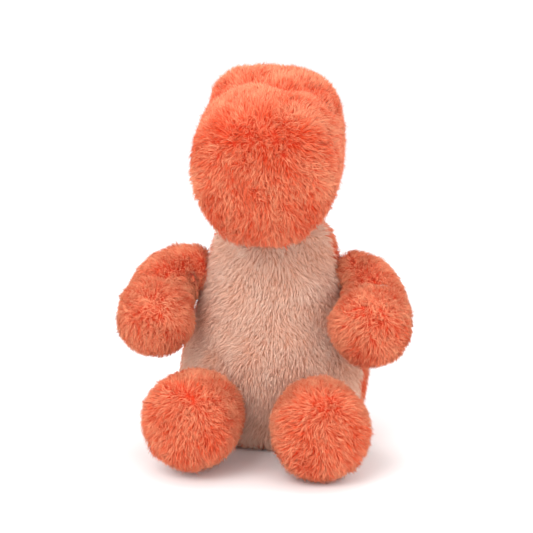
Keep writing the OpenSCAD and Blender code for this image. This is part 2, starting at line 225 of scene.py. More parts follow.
def torso_shape(t, a):
    """A flat seat to FLAT_END, a quarter-round edge to 1, a splined side to 2, a ball's dome to 3."""
    t, a = np.broadcast_arrays(np.asarray(t, float), np.radians(np.asarray(a, float)))
    base_w = TORSO_ROWS[0][1]
    base_d = TORSO_ROWS[0][2]
    f = np.clip(t / FLAT_END, 0, 1)
    b = np.radians(90 * np.clip((t - FLAT_END) / (1 - FLAT_END), 0, 1))
    rise = SEAT_ROUND * (1 - np.cos(b))
    inset = SEAT_ROUND * (1 - np.sin(b))
    side = spline(TORSO_ROWS, np.clip(t - 1, 0, 1))
    b0 = np.arcsin((COLLAR_Z - NECK[2]) / NECK_R)
    c = mix(b0, np.pi / 2, np.clip(t - 2, 0, 1))
    dome_r = NECK_R * np.cos(c)
    seat = [np.zeros_like(t), (base_w - SEAT_ROUND) * f, (base_d - SEAT_ROUND) * f]
    edge = [rise, base_w - inset, base_d - inset]
    wall = [side[..., 0], side[..., 1], side[..., 2]]
    dome = [NECK[2] + NECK_R * np.sin(c), dome_r, dome_r * COLLAR_HALF_D / COLLAR_HALF_W]
    z, w, d = (
        np.where(t < FLAT_END, p, np.where(t < 1, q, np.where(t <= 2, r, s)))
        for p, q, r, s in zip(seat, edge, wall, dome)
    )
    return np.stack([w * np.cos(a), d * np.sin(a), z], -1)


# Shares of the way from crown to snout: forward, down, in size, and how full the head is there
HEAD_SHARES = [
    (0, 0, 0, 0.95),
    (0.22, 0.02, 0, 1),
    (0.46, 0.2, 0.3, 1),
    (0.72, 0.6, 0.55, 1.015),
    (1, 1, 1, 1),
]


def head_rows():
    """Rows from the crown to the snout, each a blend of the two."""
    crown_y = 0.13 * HEAD_LENGTH
    snout_y = -0.42 * HEAD_LENGTH
    rows = []
    for y, z, s, full in HEAD_SHARES:
        half_w = full * mix(HEAD_HALF_W, SNOUT_HALF_W, s)
        half_h = full * mix(CROWN_HALF_H, SNOUT_HALF_H, s)
        rows.append((0, mix(crown_y, snout_y, y), CROWN_Z - SNOUT_DROP * z, half_w, half_h))
    return rows


def head_square(t):
    """The rings are squarer at the crown than at the snout."""
    return mix(0.72, 0.88, ease((t - 1.2) / 0.5))


CROWN_CAP = (0.22 * HEAD_LENGTH, 0.85)
SNOUT_CAP = (0.23 * HEAD_LENGTH, 0.82)
plain_head = limb(head_rows(), CROWN_CAP, SNOUT_CAP, (1, 0, 0), square=head_square)
# The pile of the nose parts along this line
NOSE_WHORL = np.array([[-30, -88, 231], [16, -88, 231]]) * MM
EYE = (low("left_eye") + high("left_eye")) / 2
# Middle of each dent and its spread along x, y and z, in millimetres
HEAD_DENTS = [
    (np.array([36, -30, 250]), (9, 9, 8)),
    (np.array([-34, -27, 255]), (9, 9, 8)),
    (np.array([32, -80, 176]), (4, 14, 11)),
    (np.array([-46, -56, 193]), (9, 5, 12)),
]
# The stuffing stands up a little at one corner of the crown
CROWN_BULGE = (np.array([-31, 5, 268]), (14, 22, 11))
BULGE_HEIGHT = 3.5 * MM
FOLD_DEPTH = 2.6 * MM
# The fold over the top lies this far forward in the middle and runs back by its bow at the sides
CREASE_Y = -46 * MM
CREASE_BOW = 24 * MM
CREASE_HALF_W = 42 * MM
CREASE_WIDTH = 6 * MM
CREASE_FOOT = 228 * MM
HEAD_MIDDLE = np.array([0, -30, 215]) * MM


def bell(p, place, spread):
    """A bell of height 1 at place, in millimetres, with its own spread along each axis."""
    return np.exp(-0.5 * (((p / MM - place) / spread) ** 2).sum(-1))


def head_folds(p):
    """How far into a fold a place lies, from 0 to 1: the fold over the top between crown and snout,
    the dents below the crown's corners, and those on the cheeks."""
    bow = CREASE_BOW * (p[..., 0] / CREASE_HALF_W) ** 2
    wander = 5 * MM * ripple(p * [1, 0, 0], 30 * MM, 8)
    on_top = ease((p[..., 2] - CREASE_FOOT) / (22 * MM))
    crease = bump(p[..., 1] - (CREASE_Y + bow + wander), CREASE_WIDTH) * on_top
    return np.clip(crease + sum(bell(p, *dent) for dent in HEAD_DENTS), 0, 1)


def head_shape(t, a):
    """The head's tube with its folds pushed in and its crown's corner pushed out."""
    p = plain_head(t, a)
    depth = FOLD_DEPTH * head_folds(p) - BULGE_HEIGHT * bell(p, *CROWN_BULGE)
    return p - unit(p - HEAD_MIDDLE) * depth[..., None]


# Shares of the way from shoulder to paw: out, forward, down, in size, and of the bow and the sag
ARM_SHARES = [
    (0, 0, 0, 0, 0),
    (0.5, 0.12, 0.02, 0.24, 0.55),
    (0.85, 0.36, 0.2, 0.46, 1),
    (1, 0.68, 0.58, 0.84, 0.75),
    (1, 1, 1, 1, 0),
]
# Where the shallow fold of the wrist lies, its width along the arm and its depth
WRIST = 1.66
WRIST_WIDTH = 0.07
WRIST_DEPTH = 4 * MM


def arm_shape(reach, bow, drop, sag, full=0.0):
    """A left arm: out from the shoulder, then forward and down to the paw.

    The elbow stands out by bow and hangs down by sag, and full fills out the upper arm. A shallow
    fold marks the wrist."""
    rows = []
    for x, y, z, grown, bent in ARM_SHARES:
        r = mix(ARM_HALF, PAW_HALF, mix(grown, mix(0.34, 1, grown), full))
        out = SHOULDER[0] + reach * x + bow * bent
        up = SHOULDER[2] - drop * z - sag * bent
        rows.append((out, -ARM_LENGTH * y, up, r, r))
    plain = limb(rows, (SHOULDER_R, 1), (0.72 * PAW_HALF, 0.8), (0, 0, 1))

    def shape(t, a):
        p = plain(t, a)
        above = np.clip(np.cos(np.radians(a)), 0, 1) * np.ones_like(t)
        fold = bump(np.asarray(t, float) - WRIST, WRIST_WIDTH) * above
        inwards = unit(np.mean([plain(t, b) for b in (0, 90, 180, 270)], 0) - p)
        return p + inwards * (WRIST_DEPTH * fold)[..., None]

    return shape


# Shares of the way from hip to foot: along, and in height and size
LEG_SHARES = [(0, 0), (0.33, 0.55), (0.66, 0.93), (1, 1)]
FOOT_CAP = 0.66 * FOOT_HALF_W


def leg_shape(lift):
    """A left leg from the hip to the foot, whose middle stands lift above half the foot's height."""
    ankle = (FOOT_X, HIP[1] - LEG_LENGTH + FOOT_CAP, FOOT_HALF_H + lift)
    rows = []
    for s, g in LEG_SHARES:
        x, y = mix(HIP[:2], np.array(ankle[:2]), s)
        z = mix(HIP[2], ankle[2], g)
        rows.append((x, y, z, mix(HIP_R, FOOT_HALF_W, g), mix(HIP_R, FOOT_HALF_H, g)))
    return limb(rows, (HIP_R, 1), (FOOT_CAP, 0.75), (1, 0, 0))


left_leg_shape = leg_shape(0)
right_leg_shape = leg_shape(RIGHT_FOOT_LIFT)

TAIL_CAP = 1.24 * TAIL_TIP_R
TAIL_END_Z = TAIL_TIP_R + 3 * MM
# Shares of the way from the tail's root to its tip: along, and in size
TAIL_SHARES = [(0, 0), (0.38, 0.12), (0.7, 0.52), (1, 1)]


def tail_rows():
    """Rows from the tail's root to its tip, which comes down nearly to the floor."""
    rows = []
    for s, g in TAIL_SHARES:
        y = TAIL_ROOT[1] + (TAIL_LENGTH - TAIL_CAP) * s
        r = mix(TAIL_R, TAIL_TIP_R, g)
        rows.append((0, y, mix(TAIL_ROOT[2], TAIL_END_Z, s**0.8), r, r))
    return rows


tail_shape = limb(tail_rows(), (TAIL_R, 1), (TAIL_CAP, 1), (1, 0, 0))

# ---------------------------------------------------------------- cloth


def grid_faces(n, m):
    """Faces of n rings of m points, joined round, with one point over each end ring."""
    i, j = np.meshgrid(np.arange(n - 1), np.arange(m), indexing="ij")
    k = (j + 1) % m
    quads = np.stack([i * m + j, i * m + k, (i + 1) * m + k, (i + 1) * m + j], -1).reshape(-1, 4)
    j = np.arange(m)
    k = (j + 1) % m
    first = np.stack([k, j, np.full(m, n * m)], -1)
    last = np.stack([(n - 1) * m + j, (n - 1) * m + k, np.full(m, n * m + 1)], -1)
    return quads.tolist() + first.tolist() + last.tolist()


def add_mesh(name, points, faces):
    """A smooth mesh object from points and faces."""
    mesh = bpy.data.meshes.new(name)
    mesh.from_pydata(np.asarray(points).reshape(-1, 3).tolist(), [], faces)
    mesh.shade_smooth()
    obj = bpy.data.objects.new(name, mesh)
    bpy.context.scene.collection.objects.link(obj)
    return obj


def with_poles(points):
    """Ring points with the mean of the first ring and of the last ring added."""
    return np.concatenate([points.reshape(-1, 3), [points[0].mean(0)], [points[-1].mean(0)]])


PUFF_PRESSURE = 4
PUFF_FRAMES = 20
# The stuffing moves the cloth no further than this
PUFF_REACH = 2.2 * MM


def puffed(points, seams):
    """Cloth simulation of a ring grid, blown up by its stuffing and held along its seams.

    Returns how far each grid point moves, which is nothing along a seam."""
    n, m = points.shape[:2]
    obj = add_mesh("puff", with_poles(points), grid_faces(n, m))
    group = obj.vertex_groups.new(name="seam")
    held = np.flatnonzero(seams.ravel())
    group.add([int(i) for i in held] + [n * m, n * m + 1], 1.0, "REPLACE")
    cloth = obj.modifiers.new("Cloth", "CLOTH")
    cloth.settings.use_pressure = True
    cloth.settings.uniform_pressure_force = PUFF_PRESSURE
    cloth.settings.vertex_group_mass = "seam"
    cloth.settings.effector_weights.gravity = 0
    cloth.point_cache.frame_start = 1
    cloth.point_cache.frame_end = PUFF_FRAMES
    scene = bpy.context.scene
    for step in range(1, PUFF_FRAMES + 1):
        scene.frame_set(step)
    graph = bpy.context.evaluated_depsgraph_get()
    moved = np.empty(len(obj.data.vertices) * 3, np.float32)
    obj.evaluated_get(graph).data.vertices.foreach_get("co", moved)
    bpy.data.objects.remove(obj)
    scene.frame_set(1)
    shift = moved.reshape(-1, 3)[: n * m].reshape(n, m, 3) - points
    length = np.linalg.norm(shift, axis=-1, keepdims=True)
    return shift * np.minimum(1, PUFF_REACH / np.maximum(length, 1e-9))


# Places and angles of the coarse grid that is simulated and of the fine one that carries the pile
CAP_STEPS = np.array([0.06, 0.2, 0.35, 0.5, 0.65, 0.8, 0.9])
COARSE_T = np.concatenate([CAP_STEPS, np.linspace(1, 2, 15), 3 - CAP_STEPS[::-1]])
COARSE_A = np.arange(0, 360, 9.0)
FINE_T = np.concatenate(
    [np.linspace(0.004, 0.98, 41), np.linspace(1, 2, 90), np.linspace(2.02, 2.996, 41)]
)
FINE_A = np.arange(0, 360, 2.0)


def spread(coarse):
    """A coarse grid of shifts laid over the fine one, straight between its points."""
    rows = np.interp(FINE_T, COARSE_T, np.arange(len(COARSE_T)))
    i = np.minimum(rows.astype(int), len(COARSE_T) - 2)
    f = (rows - i)[:, None, None]
    by_row = mix(coarse[i], coarse[i + 1], f)
    columns = FINE_A / (COARSE_A[1] - COARSE_A[0])
    j = columns.astype(int) % len(COARSE_A)
    k = (j + 1) % len(COARSE_A)
    return mix(by_row[:, j], by_row[:, k], (columns % 1)[None, :, None])


class Form:
    """One stuffed bag of cloth: a fine grid of points and normals over place t and angle a."""

    def __init__(self, name, body, shape, seams, mirrored=False, carve=None, depth=PILE_DEPTH):
        cloth = taken_in(shape, depth)
        t, a = np.meshgrid(FINE_T, FINE_A, indexing="ij")
        points = cloth(t, a)
        ct, ca = np.meshgrid(COARSE_T, COARSE_A, indexing="ij")
        points = points + spread(puffed(cloth(ct, ca), seams(ct, ca)))
        if carve:
            points = carve(points)
        round_ring = np.roll(points, -1, 1) - np.roll(points, 1, 1)
        flip = np.array([-1 if mirrored else 1, 1, 1])
        self.name = name
        self.body = body
        self.t = t
        self.a = a
        self.mirrored = mirrored
        self.points = points * flip
        self.normals = unit(np.cross(round_ring, np.gradient(points, axis=0))) * flip

    def cloth(self, *materials, second=None):
        """The bag itself as a closed mesh, padded with stuffing.

        Faces where second(t, a) is true take the second material."""
        n, m = self.points.shape[:2]
        step = 2
        rings = np.r_[0 : n - 1 : step, n - 1]
        points = self.points[rings][:, ::step]
        faces = grid_faces(len(rings), m // step)
        if self.mirrored:
            faces = [f[::-1] for f in faces]
        obj = add_mesh(self.name, with_poles(points), faces)
        for material in materials:
            obj.data.materials.append(material)
        if second is not None:
            chosen = second(self.t[rings][:-1, ::step], self.a[rings][:-1, ::step]).ravel()
            index = np.concatenate([chosen, np.zeros(len(faces) - len(chosen), bool)]).astype(np.int32)
            obj.data.polygons.foreach_set("material_index", index)
        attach(obj, self.body)
        return obj

    def roots(self, per_mm2, chosen, rng):
        """Random places, even by area, where chosen(t, a) is true: points, normals and t."""
        p = self.points
        right = np.roll(p, -1, 1)
        area = np.linalg.norm(np.cross((right - p)[:-1], (p[1:] - p[:-1])), axis=-1)
        cells = area.ravel()
        count = int(cells.sum() / MM**2 * per_mm2)
        pick = rng.choice(len(cells), count, p=cells / cells.sum())
        i, j = np.divmod(pick, p.shape[1])
        k = (j + 1) % p.shape[1]
        f, g = rng.random((2, count))

        def at(values):
            near_side = mix(values[i, j], values[i, k], g[:, None])
            far_side = mix(values[i + 1, j], values[i + 1, k], g[:, None])
            return mix(near_side, far_side, f[:, None])

        t = mix(FINE_T[i], FINE_T[i + 1], f)
        a = (FINE_A[j] + g * (FINE_A[1] - FINE_A[0])) % 360
        keep = chosen(t, a)
        return at(p)[keep], unit(at(self.normals))[keep], t[keep]


# ---------------------------------------------------------------- pile


# How many sine waves make a ripple, and what their sum is divided by
WAVES = 6
WAVE_SUM = 2.6
# Large primes that turn a cube's place into one number
CUBE_KEYS = np.array([73856093, 19349663, 83492791])


def ripple(p, wave, seed):
    """A smooth noise, mostly from -1 to 1: sine waves about wave long in random directions."""
    rng = np.random.default_rng(seed)
    k = unit(rng.normal(size=(WAVES, 3))) * (2 * np.pi / wave) * rng.uniform(0.7, 1.4, (WAVES, 1))
    return np.sin(p @ k.T + rng.uniform(0, 2 * np.pi, WAVES)).sum(-1) / WAVE_SUM


def swirl(p, wave, seed):
    """A smooth vector noise, one ripple for each axis."""
    return np.stack([ripple(p, wave, seed + 100 * k) for k in range(3)], -1)


def locks(p, cell, seed):
    """Which lock of hair each root belongs to: the jittered cube of size cell that holds it."""
    place = np.floor((p + swirl(p, 5 * cell, seed) * 0.3 * cell) / cell).astype(np.int64)
    x, y, z = (place * CUBE_KEYS).T
    return np.unique(x ^ y ^ z, return_inverse=True)[1]


def lock_mean(values, lock):
    """For each strand the mean of values over its lock."""
    count = np.bincount(lock)
    total = np.stack([np.bincount(lock, values[:, k]) for k in range(3)], -1)
    return (total / count[:, None])[lock]


def per_lock(rng, lock, *size):
    """Random numbers that are the same for all the strands of a lock."""
    return rng.normal(0, 1, (lock.max() + 1, *size))[lock]


SIDES = 3
# Rings of a bent strand: faces by corner number, and where each face corner lies on the strand's
# map, in columns across and in height from root to tip
BENT_FACES = [(0, 2, 1)]
BENT_PLACES = [(0, 0), (2, 0), (1, 0.02)]
# The same for a straight strand, which has no middle ring
STRAIGHT_FACES = [(0, 2, 1)]
STRAIGHT_PLACES = [(0, 0), (2, 0), (1, 0.02)]
for k in range(SIDES):
    n = (k + 1) % SIDES
    BENT_FACES += [(k, n, SIDES + n), (k, SIDES + n, SIDES + k), (SIDES + k, SIDES + n, 2 * SIDES)]
    BENT_PLACES += [(k, 0.02), (k + 1, 0.02), (k + 1, 0.55), (k, 0.02), (k + 1, 0.55), (k, 0.55)]
    BENT_PLACES += [(k, 0.55), (k + 1, 0.55), (k + 0.5, 1)]
    STRAIGHT_FACES += [(k, n, SIDES)]
    STRAIGHT_PLACES += [(k, 0.02), (k + 1, 0.02), (k + 0.5, 1)]
# Width of a column on the map, where a strand's columns start at its tint
COLUMN = 0.006
# A strand starts this far below the cloth, and its middle ring is this much of its root's width
ROOT_DEPTH = 0.6 * MM
MIDDLE_WIDTH = 0.8
# The shading normals lie between the cloth's (0) and the strand's own (1)
OWN_SHARE = 0.58


def strands(root, middle, tip, normal, width, tint, rng):
    """Points, faces, map places and shading normals of closed three-sided strands.

    A strand is a triangle round its root, a smaller one round its middle and a point at its tip.
    Where middle is None it runs straight from the root to the tip."""
    n = len(root)
    ahead = unit((tip if middle is None else middle) - root)
    u = unit(np.cross(ahead, normal + rng.normal(0, 0.3, (n, 3))))
    v = np.cross(ahead, u)
    turn = rng.uniform(0, 2 * np.pi, n)[:, None] + np.arange(SIDES) * 2 * np.pi / SIDES
    ring = u[:, None] * np.cos(turn)[..., None] + v[:, None] * np.sin(turn)[..., None]
    wide = ring * width[:, None, None]
    rings = [(root - normal * ROOT_DEPTH)[:, None] + wide]
    if middle is not None:
        rings.append(middle[:, None] + wide * MIDDLE_WIDTH)
    points = np.concatenate([*rings, tip[:, None]], 1)
    pattern, places = (STRAIGHT_FACES, STRAIGHT_PLACES) if middle is None else (BENT_FACES, BENT_PLACES)
    faces = (np.arange(n)[:, None, None] * points.shape[1] + np.array(pattern)).reshape(-1, 3)
    places = np.array(places, float)
    across = np.clip(tint, 0.01, 0.97)[:, None] + places[:, 0] * COLUMN
    height = np.broadcast_to(places[:, 1], across.shape)
    outward = np.concatenate([ring] * len(rings) + [ahead[:, None]], 1)
    shine = unit(mix(normal[:, None], outward, OWN_SHARE))
    flat_map = np.stack([across, height], -1).reshape(-1, 2)
    return points.reshape(-1, 3), faces, flat_map, shine.reshape(-1, 3)


def pile_mesh(name, points, faces, places, shine, material):
    """A mesh object from triangle arrays, with its map named OFBake and its shading normals set."""
    mesh = bpy.data.meshes.new(name)
    mesh.vertices.add(len(points))
    mesh.vertices.foreach_set("co", points.astype(np.float32).ravel())
    mesh.loops.add(faces.size)
    mesh.loops.foreach_set("vertex_index", faces.astype(np.int32).ravel())
    mesh.polygons.add(len(faces))
    mesh.polygons.foreach_set("loop_start", np.arange(0, faces.size, 3, dtype=np.int32))
    layer = mesh.uv_layers.new(name="OFBake")
    mesh.update(calc_edges=True)
    layer.uv.foreach_set("vector", places.astype(np.float32).ravel())
    mesh.shade_smooth()
    mesh.normals_split_custom_set_from_vertices(shine.astype(np.float32))
    mesh.materials.append(material)
    obj = bpy.data.objects.new(name, mesh)
    bpy.context.scene.collection.objects.link(obj)
    return obj


def comb_out(direction, normal):
    """The part of direction that lies along the cloth."""
    return direction - normal * (direction * normal).sum(-1, keepdims=True)


# Mean lean of a strand from the cloth's normal, in degrees, in its lower and its upper half
LOW_LEAN = 24
HIGH_LEAN = 60
# Share of the strands that are the shorter, straight pile between the long ones, and their size
UNDER_SHARE = 0.7
UNDER_LENGTH = 0.78
UNDER_LEAN = 0.35
UNDER_WIDTH = 1.1
# What would hang below the floor is held this far to twice this far above it
FLOOR_GAP = 0.3 * MM


def stirred(nap, root, small, large, unruly, rng):
    """The nap with two swirls in it, and a lean of each lock's and each strand's own."""
    stray = per_lock(rng, small, 3) * 0.34 + per_lock(rng, large, 3) * 0.26
    nap = nap + swirl(root, 42 * MM, 11) * 0.4 + swirl(root, 17 * MM, 12) * 0.42 * unruly
    return nap + stray * unruly + rng.normal(0, 0.2 * unruly, (len(root), 3))


def leans(root, small, strength, rng):
    """Angles from the cloth's normal of the lower and the upper half of each strand.

    They fall to about half where the nap's strength is nothing."""
    lift = ripple(root, 24 * MM, 21) * 7 + rng.normal(0, 6, len(root)) + per_lock(rng, small) * 5
    low_lean = np.radians(np.clip(LOW_LEAN + lift * 0.6, 4, 50)) * mix(0.5, 1, strength)
    high_lean = np.radians(np.clip(HIGH_LEAN + lift, 25, 82)) * mix(0.45, 1, strength)
    return low_lean[:, None], high_lean[:, None]


def lengths(root, length, extra, rng):
    """Strand lengths, a little uneven, with a few strands a quarter longer than the rest."""
    uneven = rng.normal(1, 0.09, len(root)) * (1 + 0.1 * ripple(root, 13 * MM, 22))
    long = length * uneven * (1 + 0.28 * (rng.random(len(root)) < 0.03))
    return (long * (1 + extra(root)))[:, None]


def tints(root, small, unruly, shade, rng):
    """Place of each strand between the deep colour (0) and the pale one (1): random by strand, lock and
    place, plus shade(root), which paints light and shade.
    """
    own = rng.normal(0, 0.16, len(root)) + per_lock(rng, small) * 0.2 * unruly
    return 0.48 + 0.15 * ripple(root, 30 * MM, 31) + own + shade(root)


def steps(length, lean, normal, flat):
    """Steps of a length from the cloth, leaning from its normal towards the flat direction."""
    return length * (normal * np.cos(lean) + flat * np.sin(lean))


def nowhere(p):
    """False for every root."""
    return np.zeros(len(p), bool)


def unchanged(p):
    """Nothing added at any root."""
    return np.zeros(len(p))


def grow(
    form, name, node, chosen, comb, material, per_mm2, seed,
    length=6.6 * MM, skip=nowhere, shade=unchanged, unruly=1.0, extra=unchanged,
):
    """Grows the pile of one panel and hides the panel's CAD node.

    The roots lie where chosen(t, a) is true and skip(points) is not, per_mm2 of them to a square
    millimetre. A long strand leaves its root leaning by LOW_LEAN and bends over to HIGH_LEAN along
    the nap, and the short ones between are straight. The nap is comb(points, t), stirred by smooth
    noise and more so the larger unruly is, and the strands of a lock lean towards its middle.
    shade(points) is added to the tint and paints light and shade there, and extra(points) is the share
    added to the length."""
    rng = np.random.default_rng(seed)
    root, normal, t = form.roots(per_mm2, chosen, rng)
    keep = ~skip(root)
    root, normal, t = root[keep], normal[keep], t[keep]
    small = locks(root, 1.8 * MM, 5)
    large = locks(root, 5.0 * MM, 6)
    nap = comb(root, t)
    strength = np.clip(np.linalg.norm(nap, axis=-1), 0, 1)
    flat = unit(comb_out(stirred(nap, root, small, large, unruly, rng), normal))
    low_lean, high_lean = leans(root, small, strength, rng)
    long = lengths(root, length, extra, rng)
    to_small = lock_mean(root, small) - root
    to_large = lock_mean(root, large) - root
    bend = root + steps(long / 2, low_lean, normal, flat)
    middle = bend + to_small * 0.1
    tip = bend + steps(long / 2, high_lean, normal, flat) + to_small * 0.32 * unruly + to_large * 0.08
    width = rng.uniform(0.22, 0.34, len(root)) * MM
    tint = tints(root, small, unruly, shade, rng)
    under = rng.random(len(root)) < UNDER_SHARE
    over = ~under
    under_tip = root + steps(long * UNDER_LENGTH, low_lean + UNDER_LEAN, normal, flat) + to_small * 0.12
    long_ones = strands(root[over], middle[over], tip[over], normal[over], width[over], tint[over], rng)
    short_ones = strands(
        root[under], None, under_tip[under], normal[under], width[under] * UNDER_WIDTH, tint[under], rng
    )
    points, faces, places, shine = (np.concatenate(pair) for pair in zip(long_ones, short_ones))
    faces[len(long_ones[1]) :] += len(long_ones[0])
    points[:, 2] = np.maximum(points[:, 2], FLOOR_GAP * (1 + rng.random(len(points))))
    obj = pile_mesh(name, points, faces, places, shine, material)
    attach(obj, form.body)
    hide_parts(node)
    return obj


# ---------------------------------------------------------------- materials


class Node:
    """A shader socket that takes part in sums: Python operators on it add Math nodes."""

    def __init__(self, tree, socket):
        self.tree, self.socket = tree, socket

    def _math(self, operation, *values):
        node = self.tree.nodes.new("ShaderNodeMath")
        node.operation = operation
        for socket, value in zip(node.inputs, values):
            put(self.tree, socket, value)
        return Node(self.tree, node.outputs[0])

    def __add__(self, other):
        return self._math("ADD", self, other)

    def __sub__(self, other):
        return self._math("SUBTRACT", self, other)

    def __rsub__(self, other):
        return self._math("SUBTRACT", other, self)

    def __mul__(self, other):
        return self._math("MULTIPLY", self, other)

    __radd__ = __add__
    __rmul__ = __mul__


def put(tree, socket, value):
    """Links a Node to a socket, or sets the socket's own value."""
    if isinstance(value, Node):
        tree.links.new(value.socket, socket)
    elif hasattr(socket.default_value, "__len__") and len(socket.default_value) == 4 and len(value) == 3:
        socket.default_value = (*value, 1)
    else:
        socket.default_value = value


class Material:
    """A Principled material, built one node at a time."""

    def __init__(self, name, **constants):
        self.material = bpy.data.materials.new(name)
        self.material.use_nodes = True
        self.tree = self.material.node_tree
        self.shader = self.tree.nodes["Principled BSDF"]
        self.set(**constants)

    def set(self, **values):
        """Sets or links sockets of the Principled shader; underscores in names stand for spaces."""
        for name, value in values.items():
            put(self.tree, self.shader.inputs[name.replace("_", " ")], value)
        return self

    def add(self, kind, output=0, settings=None, **sockets):
        """A new node of a kind, its settings first and then its sockets, and one of its outputs."""
        node = self.tree.nodes.new("ShaderNode" + kind)
        for name, value in (settings or {}).items():
            setattr(node, name, value)
        for name, value in sockets.items():
            put(self.tree, node.inputs[name.replace("_", " ")], value)
        return Node(self.tree, node.outputs[output])

    def blend(self, factor, a, b):
        """A colour a share factor of the way from a to b."""
        node = self.tree.nodes.new("ShaderNodeMix")
        node.data_type = "RGBA"
        put(self.tree, node.inputs["Factor"], factor)
        put(self.tree, node.inputs["A"], a)
        put(self.tree, node.inputs["B"], b)
        return Node(self.tree, node.outputs["Result"])

    def ramp(self, factor, *stops):
        """Colours by position, straight between the stops."""
        node = self.tree.nodes.new("ShaderNodeValToRGB")
        put(self.tree, node.inputs[0], factor)
        elements = node.color_ramp.elements
        for element, (place, colour) in zip(elements, (stops[0], stops[-1])):
            element.position = place
            element.color = (*colour, 1)
        for place, colour in stops[1:-1]:
            elements.new(place).color = (*colour, 1)
        return Node(self.tree, node.outputs[0])

    def bump(self, height, strength, distance):
        """Raises the surface by height times distance."""
        self.set(Normal=self.add("Bump", Height=height, Strength=strength, Distance=distance))
        return self


def srgb(r, g, b):
    """A colour from 0 to 255 on a screen as linear light."""
    c = np.array([r, g, b]) / 255
    return tuple(np.where(c <= 0.04045, c / 12.92, ((c + 0.055) / 1.055) ** 2.4))


def pile_material(name, root, body, tip, dark, light):
    """Dyed pile with painted shade at the root, a painted highlight at the tip, each strand a little
    different.
    """
    m = Material(name, Roughness=0.8, Sheen_Weight=0.06, Sheen_Roughness=0.5, Specular_IOR_Level=0.08)
    place = m.add("UVMap", settings={"uv_map": "OFBake"})
    split = m.tree.nodes.new("ShaderNodeSeparateXYZ")
    put(m.tree, split.inputs[0], place)
    across, height = (Node(m.tree, split.outputs[k]) for k in (0, 1))
    # Painted shade down among the strands at the root and a painted highlight at the tip
    along = m.ramp(height, (0, root), (0.45, body), (1, tip))
    deep = m.blend(0.62, along, dark)
    pale = m.blend(0.5, along, light)
    m.set(Base_Color=m.blend(across, deep, pale))
    return m.material


def cloth_material(name, dark, light):
    """Knitted backing cloth: fine ribs crossed by rows, with the dye a little uneven."""
    m = Material(name, Roughness=0.85, Sheen_Weight=0.2, Specular_IOR_Level=0.15)
    place = m.add("TexCoord", output=3)
    ribs = m.add("TexWave", 1, Vector=place, Scale=420.0, Distortion=1.5)
    rows = m.add("TexWave", 1, {"bands_direction": "Z"}, Vector=place, Scale=520.0, Distortion=1.0)
    dye = m.add("TexNoise", Vector=place, Scale=60.0, Detail=3.0)
    m.set(Base_Color=m.blend(dye * 0.6 + ribs * 0.4, dark, light))
    return m.bump(ribs * rows, 0.5, 0.0004).material


def fibre_material():
    """Loose white fibre: tangled threads on a soft, lumpy mass."""
    m = Material("stuffing_fibre", Roughness=0.95, Sheen_Weight=0.3, Specular_IOR_Level=0.1)
    place = m.add("TexCoord", output=3)
    lumps = m.add("TexNoise", Vector=place, Scale=70.0, Detail=4.0)
    threads = m.add("TexNoise", Vector=place, Scale=900.0, Detail=6.0, Distortion=2.5)
    m.set(Base_Color=m.blend(lumps, srgb(214, 210, 200), srgb(247, 246, 242)))
    return m.bump(lumps * 0.6 + threads * 0.4, 0.7, 0.002).material


def weave_material():
    """Plain-woven cotton: two sets of threads crossing at right angles."""
    m = Material("bag_cotton", Roughness=0.9, Sheen_Weight=0.15)
    place = m.add("TexCoord", output=3)
    warp = m.add("TexWave", 1, {"bands_direction": "X"}, Vector=place, Scale=330.0)
    weft = m.add("TexWave", 1, {"bands_direction": "Y"}, Vector=place, Scale=330.0)
    m.set(Base_Color=m.blend(warp * weft, srgb(196, 190, 176), srgb(238, 234, 224)))
    return m.bump(warp + weft, 0.6, 0.0003).material


def pellet_material():
    """Small moulded beads packed together: rounded cells with dark joints."""
    m = Material("pellet_beads", Roughness=0.35)
    place = m.add("TexCoord", output=3)
    cell = m.add("TexVoronoi", Vector=place, Scale=330.0)
    m.set(Base_Color=m.ramp(cell, (0.2, srgb(226, 228, 230)), (0.75, srgb(120, 122, 126))))
    return m.bump(1 - cell, 1.0, 0.0015).material


def thread_material():
    """Twisted sewing thread: slanting plies along its length."""
    m = Material("neck_thread_twist", Roughness=0.6, Sheen_Weight=0.2)
    place = m.add("TexCoord", output=3)
    plies = m.add("TexWave", 1, {"bands_direction": "DIAGONAL"}, Vector=place, Scale=500.0)
    m.set(Base_Color=m.blend(plies, srgb(168, 62, 38), srgb(222, 104, 72)))
    return m.bump(plies, 0.8, 0.0002).material


def eye_material():
    """Polished black plastic with faint handling marks under a clear skin."""
    m = Material("eye_black", Coat_Weight=1.0, Coat_Roughness=0.03)
    place = m.add("TexCoord", output=3)
    marks = m.add("TexNoise", Vector=place, Scale=900.0, Detail=5.0)
    m.set(Base_Color=m.blend(marks, srgb(6, 5, 5), srgb(26, 22, 21)))
    return m.set(Roughness=0.08 + marks * 0.12).material


def washer_material():
    """Plain moulded washer plastic, with a fine grain."""
    m = Material("washer_plastic", Roughness=0.5)
    place = m.add("TexCoord", output=3)
    grain = m.add("TexNoise", Vector=place, Scale=1500.0, Detail=4.0)
    m.set(Base_Color=m.blend(grain, srgb(168, 168, 164), srgb(206, 206, 202)))
    return m.bump(grain, 0.3, 0.0002).material


# The deep roots are painted shade among the strands and the pale tips a painted highlight on them
CORAL_PILE = pile_material(
    "coral_pile",
    root=srgb(232, 56, 20),
    body=srgb(246, 102, 58),
    tip=srgb(254, 152, 106),
    dark=srgb(226, 50, 16),
    light=srgb(255, 190, 150),
)
CREAM_PILE = pile_material(
    "cream_pile",
    root=srgb(232, 150, 114),
    body=srgb(246, 196, 168),
    tip=srgb(255, 218, 196),
    dark=srgb(240, 172, 140),
    light=srgb(255, 232, 216),
)
CORAL_CLOTH = cloth_material("coral_cloth", srgb(206, 52, 24), srgb(232, 84, 50))
CREAM_CLOTH = cloth_material("cream_cloth", srgb(206, 150, 122), srgb(226, 178, 152))

# ---------------------------------------------------------------- the bags and their seams


